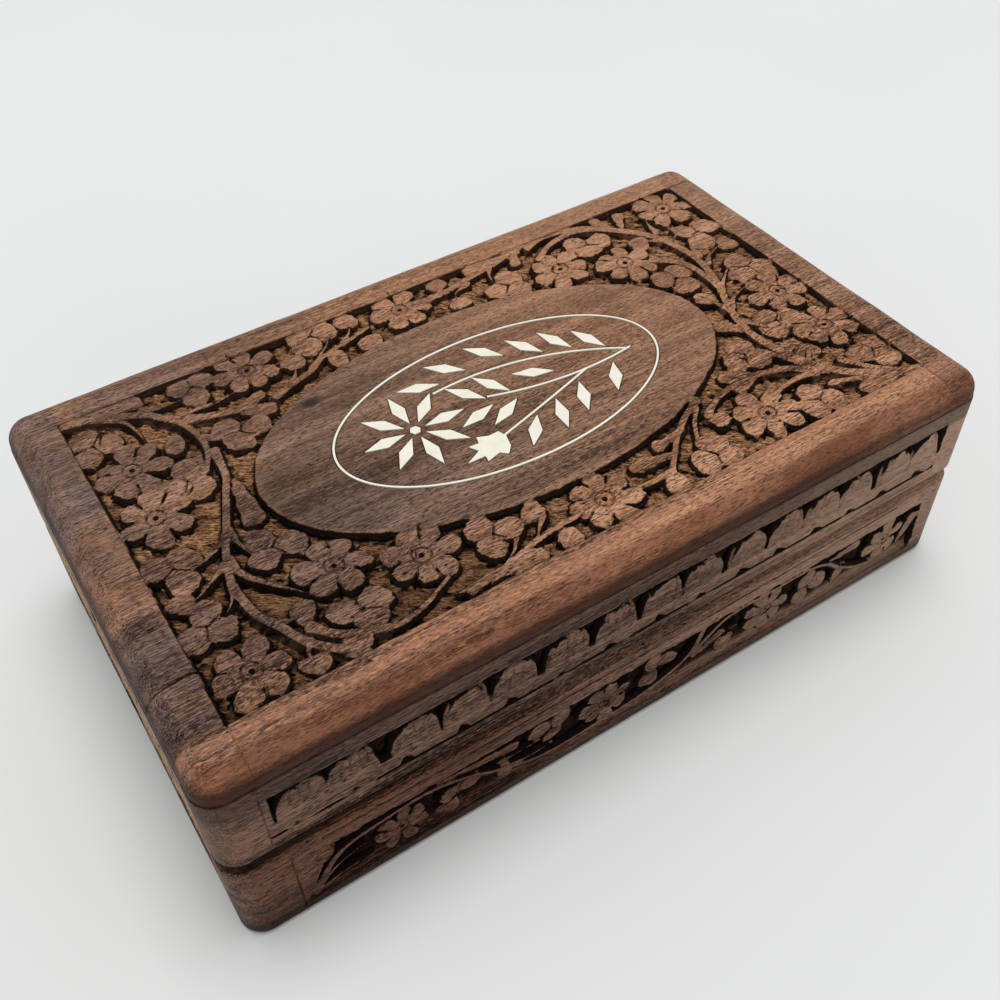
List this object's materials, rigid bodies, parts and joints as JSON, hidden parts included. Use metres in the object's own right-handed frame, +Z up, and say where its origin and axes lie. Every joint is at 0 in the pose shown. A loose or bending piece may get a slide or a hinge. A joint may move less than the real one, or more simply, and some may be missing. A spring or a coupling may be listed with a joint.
{
  "type": "carved jewelry box",
  "caption": "Rectangular carved dark-wood jewelry box with a white-inlaid oval plaque on its hinged lid, floral relief, lined inside, for keeping small valuables.",
  "frame": {"origin": "middle of the footprint, on the surface that the box stands on", "axes": "+X along the length, +Y from the front to the hinges, +Z up"},
  "size_m": [0.254, 0.149, 0.076],
  "materials": {
    "wood": "waxed, worn, open pored",
    "inlay": "polished flush with the wood",
    "brass": "dull, aged",
    "steel": "plain wire nails",
    "velvet": "short pile on card"
  },
  "bodies": {
    "base": {"base_front_rail": "wood", "base_back_rail": "wood", "base_left_rail": "wood", "base_right_rail": "wood", "base_bottom_panel": "wood", "base_bottom_nails": "steel", "hinge_left_base_leaf": "brass", "hinge_right_base_leaf": "brass", "hinge_left_pin": "brass", "hinge_right_pin": "brass", "base_hinge_screws": "brass", "base_floor_lining": "velvet", "base_front_lining": "velvet", "base_back_lining": "velvet", "base_left_lining": "velvet", "base_right_lining": "velvet"},
    "lid": {"lid_top_panel": "wood", "lid_front_rail": "wood", "lid_back_rail": "wood", "lid_left_rail": "wood", "lid_right_rail": "wood", "inlay_oval_line": "inlay", "inlay_flower_petals": "inlay", "inlay_flower_centre": "inlay", "inlay_leaves": "inlay", "inlay_stem_upper": "inlay", "inlay_stem_middle": "inlay", "inlay_stem_lower": "inlay", "inlay_bud": "inlay", "hinge_left_lid_leaf": "brass", "hinge_right_lid_leaf": "brass", "lid_hinge_screws": "brass", "lid_ceiling_lining": "velvet", "lid_front_lining": "velvet", "lid_back_lining": "velvet", "lid_left_lining": "velvet", "lid_right_lining": "velvet"}
  },
  "joints": [
    {"name": "lid_hinge", "type": "hinge", "parent": "base", "child": "lid", "pos_m": [0, 0.072, 0.0381], "axis": [-1, 0, 0], "range_deg": [0, 100]}
  ]
}
